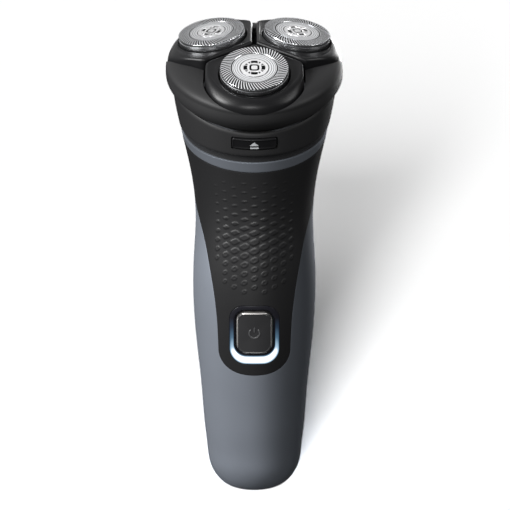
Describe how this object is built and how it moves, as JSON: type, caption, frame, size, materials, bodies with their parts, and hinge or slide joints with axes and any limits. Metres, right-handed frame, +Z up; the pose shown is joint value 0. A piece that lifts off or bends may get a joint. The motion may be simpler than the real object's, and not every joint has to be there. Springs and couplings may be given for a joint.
{
  "type": "electric shaver",
  "caption": "Hand-held rotary electric shaver with a flip-open head, tilting cap pockets, geared cutters, push buttons and a pop-up rear trimmer",
  "frame": {"origin": "middle of the part's footprint, at the flat lower end of the handle", "axes": "+Z up along the handle, -Y towards the front with the power button, +X to the right when the front is looked at"},
  "size_m": [0.0614, 0.0606, 0.164],
  "materials": {
    "steel_grey": "satin metallic steel grey, very fine grain",
    "black_plastic": "satin black with a fine moulded grain",
    "light_guide": "milky light guide, lit white to pale blue at the lower end",
    "cap_steel": "turned stainless steel with concentric marks",
    "hub_chrome": "bright polished steel",
    "inner_plastic": "plain moulded plastic",
    "gear_nylon": "natural nylon",
    "seal_rubber": "soft black rubber",
    "battery_wrap": "shrink wrap, green",
    "circuit_board": "green solder mask",
    "contact_metal": "plated brass",
    "motor_steel": "bright rolled steel",
    "lamp": "clear lamp body"
  },
  "bodies": {
    "handle": {"rear_shell": "steel_grey", "front_panel": "black_plastic", "neck_ring": "steel_grey", "neck_housing": "black_plastic", "light_ring": "light_guide", "inner_frame": "inner_plastic", "battery_cell": "battery_wrap", "battery_contacts": "contact_metal", "circuit_board": "circuit_board", "tact_switch": "inner_plastic", "ring_lamps": "lamp", "charging_socket": "black_plastic", "socket_pins": "contact_metal", "motor_can": "motor_steel", "centre_axle": "motor_steel", "gear_plate": "inner_plastic", "gear_cover": "inner_plastic", "neck_seal": "seal_rubber", "cover_screws": "motor_steel", "unit_hinge_pin": "motor_steel", "trimmer_pin": "motor_steel", "trimmer_well": "black_plastic"},
    "power_button": {"power_button": "black_plastic"},
    "release_button": {"release_button": "black_plastic"},
    "rotor": {"motor_shaft": "motor_steel", "motor_pinion": "contact_metal"},
    "centre_gear": {"centre_gear": "gear_nylon"},
    "shaving_unit": {"unit_skirt": "black_plastic", "hair_chamber": "black_plastic", "retaining_frame": "inner_plastic"},
    "trimmer": {"trimmer_arm": "black_plastic", "trimmer_comb": "cap_steel"},
    "trimmer_blade": {"trimmer_blade": "cap_steel"},
    "trimmer_switch": {"trimmer_switch": "black_plastic"},
    "drive_front": {"drive_gear_front": "gear_nylon", "drive_spindle_front": "gear_nylon"},
    "pocket_front": {"petal_front": "black_plastic", "shaving_cap_front": "cap_steel", "cap_hub_front": "hub_chrome"},
    "cutter_front": {"cutter_front": "cap_steel"},
    "drive_right": {"drive_gear_right": "gear_nylon", "drive_spindle_right": "gear_nylon"},
    "pocket_right": {"petal_right": "black_plastic", "shaving_cap_right": "cap_steel", "cap_hub_right": "hub_chrome"},
    "cutter_right": {"cutter_right": "cap_steel"},
    "drive_left": {"drive_gear_left": "gear_nylon", "drive_spindle_left": "gear_nylon"},
    "pocket_left": {"petal_left": "black_plastic", "shaving_cap_left": "cap_steel", "cap_hub_left": "hub_chrome"},
    "cutter_left": {"cutter_left": "cap_steel"}
  },
  "joints": [
    {"name": "power_press", "type": "slide", "parent": "handle", "child": "power_button", "axis": [0, 1, 0], "range_m": [0, 0.0008], "stiffness_N_per_m": 400},
    {"name": "release_press", "type": "slide", "parent": "handle", "child": "release_button", "axis": [0, 0.9426, 0.3338], "range_m": [0, 0.001], "stiffness_N_per_m": 400},
    {"name": "unit_open", "type": "hinge", "parent": "handle", "child": "shaving_unit", "pos_m": [0, 0.02848, 0.15171], "axis": [-1, 0, 0], "range_deg": [0, 80]},
    {"name": "rotor_spin", "type": "hinge", "parent": "handle", "child": "rotor", "pos_m": [0, 0.00024, 0.12707], "axis": [0, -0.3338, 0.9426], "continuous": true},
    {"name": "centre_spin", "type": "hinge", "parent": "handle", "child": "centre_gear", "pos_m": [0, 0.00468, 0.13925], "axis": [0, -0.3338, 0.9426], "continuous": true},
    {"name": "drive_front_spin", "type": "hinge", "parent": "handle", "child": "drive_front", "pos_m": [0, -0.0117, 0.13875], "axis": [0, -0.3338, 0.9426], "continuous": true},
    {"name": "drive_right_spin", "type": "hinge", "parent": "handle", "child": "drive_right", "pos_m": [0.01351, 0.01036, 0.14656], "axis": [0, -0.3338, 0.9426], "continuous": true},
    {"name": "drive_left_spin", "type": "hinge", "parent": "handle", "child": "drive_left", "pos_m": [-0.01351, 0.01036, 0.14656], "axis": [0, -0.3338, 0.9426], "continuous": true},
    {"name": "pocket_front_tilt", "type": "hinge", "parent": "shaving_unit", "child": "pocket_front", "pos_m": [0, -0.0153, 0.14533], "axis": [1, 0, 0], "range_deg": [-2, 2], "stiffness_Nm_per_rad": 0.15},
    {"name": "pocket_right_tilt", "type": "hinge", "parent": "shaving_unit", "child": "pocket_right", "pos_m": [0.01455, 0.00846, 0.15374], "axis": [-0.5, 0.8164, 0.2891], "range_deg": [-2, 2], "stiffness_Nm_per_rad": 0.15},
    {"name": "pocket_left_tilt", "type": "hinge", "parent": "shaving_unit", "child": "pocket_left", "pos_m": [-0.01455, 0.00846, 0.15374], "axis": [-0.5, -0.8164, -0.2891], "range_deg": [-2, 2], "stiffness_Nm_per_rad": 0.15},
    {"name": "cutter_front_spin", "type": "hinge", "parent": "pocket_front", "child": "cutter_front", "pos_m": [0, -0.01784, 0.15249], "axis": [0, -0.4848, 0.8746], "continuous": true},
    {"name": "cutter_right_spin", "type": "hinge", "parent": "pocket_right", "child": "cutter_right", "pos_m": [0.01455, 0.00592, 0.1609], "axis": [0.1429, -0.2514, 0.9573], "continuous": true},
    {"name": "cutter_left_spin", "type": "hinge", "parent": "pocket_left", "child": "cutter_left", "pos_m": [-0.01455, 0.00592, 0.1609], "axis": [-0.1429, -0.2514, 0.9573], "continuous": true},
    {"name": "trimmer_open", "type": "hinge", "parent": "handle", "child": "trimmer", "pos_m": [0, 0.0144, 0.082], "axis": [-1, 0, 0], "range_deg": [0, 75]},
    {"name": "trimmer_blade_slide", "type": "slide", "parent": "trimmer", "child": "trimmer_blade", "axis": [1, 0, 0], "range_m": [-0.0005, 0.0005], "stiffness_N_per_m": 200},
    {"name": "trimmer_switch_slide", "type": "slide", "parent": "handle", "child": "trimmer_switch", "axis": [0, 0, 1], "range_m": [0, 0.004]}
  ],
  "couplings": [
    {"joint": "centre_spin", "follows": "rotor_spin", "ratio": -0.375},
    {"joint": "drive_front_spin", "follows": "rotor_spin", "ratio": 1.125},
    {"joint": "drive_right_spin", "follows": "rotor_spin", "ratio": 1.125},
    {"joint": "drive_left_spin", "follows": "rotor_spin", "ratio": 1.125},
    {"joint": "cutter_front_spin", "follows": "rotor_spin", "ratio": 1.125},
    {"joint": "cutter_right_spin", "follows": "rotor_spin", "ratio": 1.125},
    {"joint": "cutter_left_spin", "follows": "rotor_spin", "ratio": 1.125}
  ]
}
